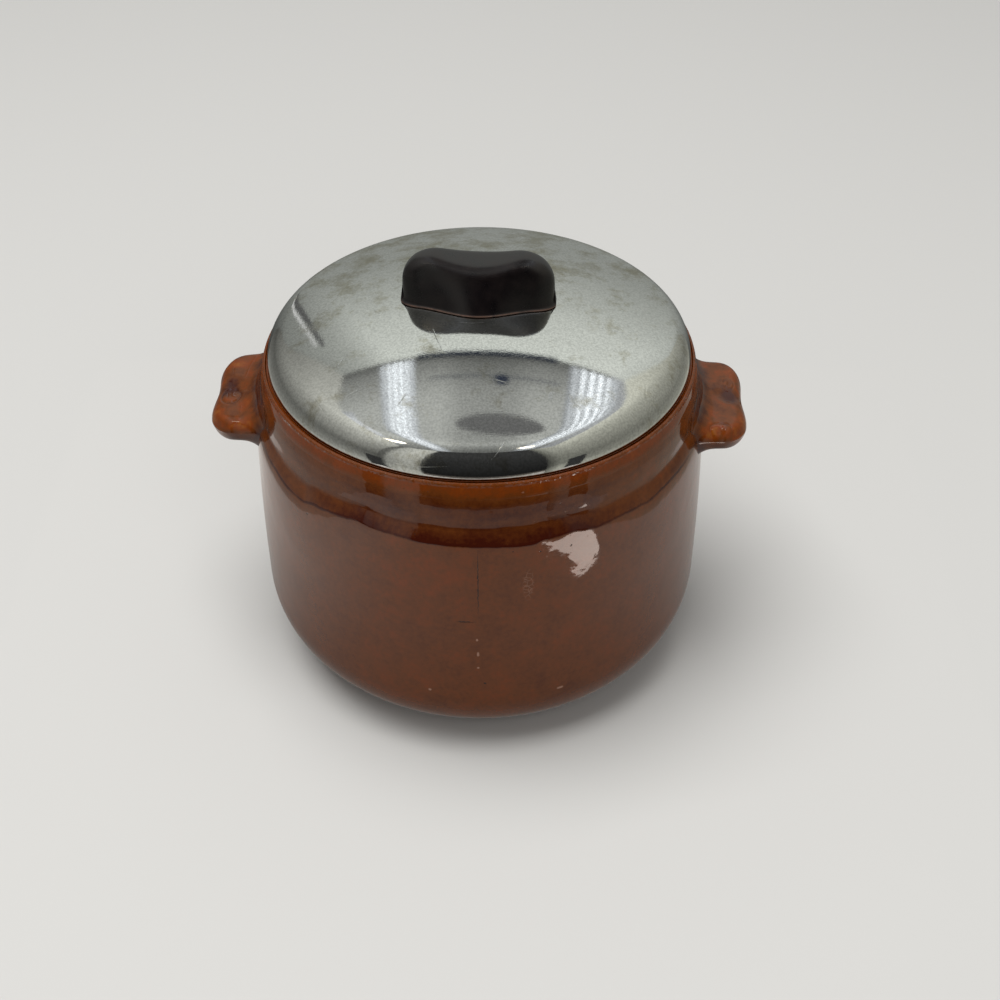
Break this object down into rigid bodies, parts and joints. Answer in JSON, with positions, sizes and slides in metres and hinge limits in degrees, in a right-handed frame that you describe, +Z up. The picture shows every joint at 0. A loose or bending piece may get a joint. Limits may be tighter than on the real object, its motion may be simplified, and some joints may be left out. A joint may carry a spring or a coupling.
{
  "type": "bean pot",
  "caption": "Round glazed stoneware bean pot with lug handles on both sides and a loose domed aluminium lid that lifts off by a winged knob.",
  "frame": {"origin": "centre of the foot, on the surface that the pot stands on", "axes": "+Z up out of the mouth, +X through the middle of the right-hand handle, -Y towards someone who faces the pot"},
  "size_m": [0.228, 0.1954, 0.1919],
  "materials": {
    "glazed_stoneware": "glossy brown glaze",
    "polished_aluminium": "polished, a little hazy",
    "phenolic": "moulded, semi-gloss",
    "brass": "machined",
    "steel": "zinc plated"
  },
  "bodies": {
    "pot": {"pot_body": "glazed_stoneware", "handle_left": "glazed_stoneware", "handle_right": "glazed_stoneware"},
    "lid": {"lid_shell": "polished_aluminium", "lid_knob": "phenolic", "knob_insert": "brass", "knob_screw": "steel", "flat_washer": "steel", "lock_washer": "steel"}
  },
  "joints": [
    {"name": "lid_lift", "type": "slide", "parent": "pot", "child": "lid", "axis": [0, 0, 1], "range_m": [0, 0.15]}
  ]
}
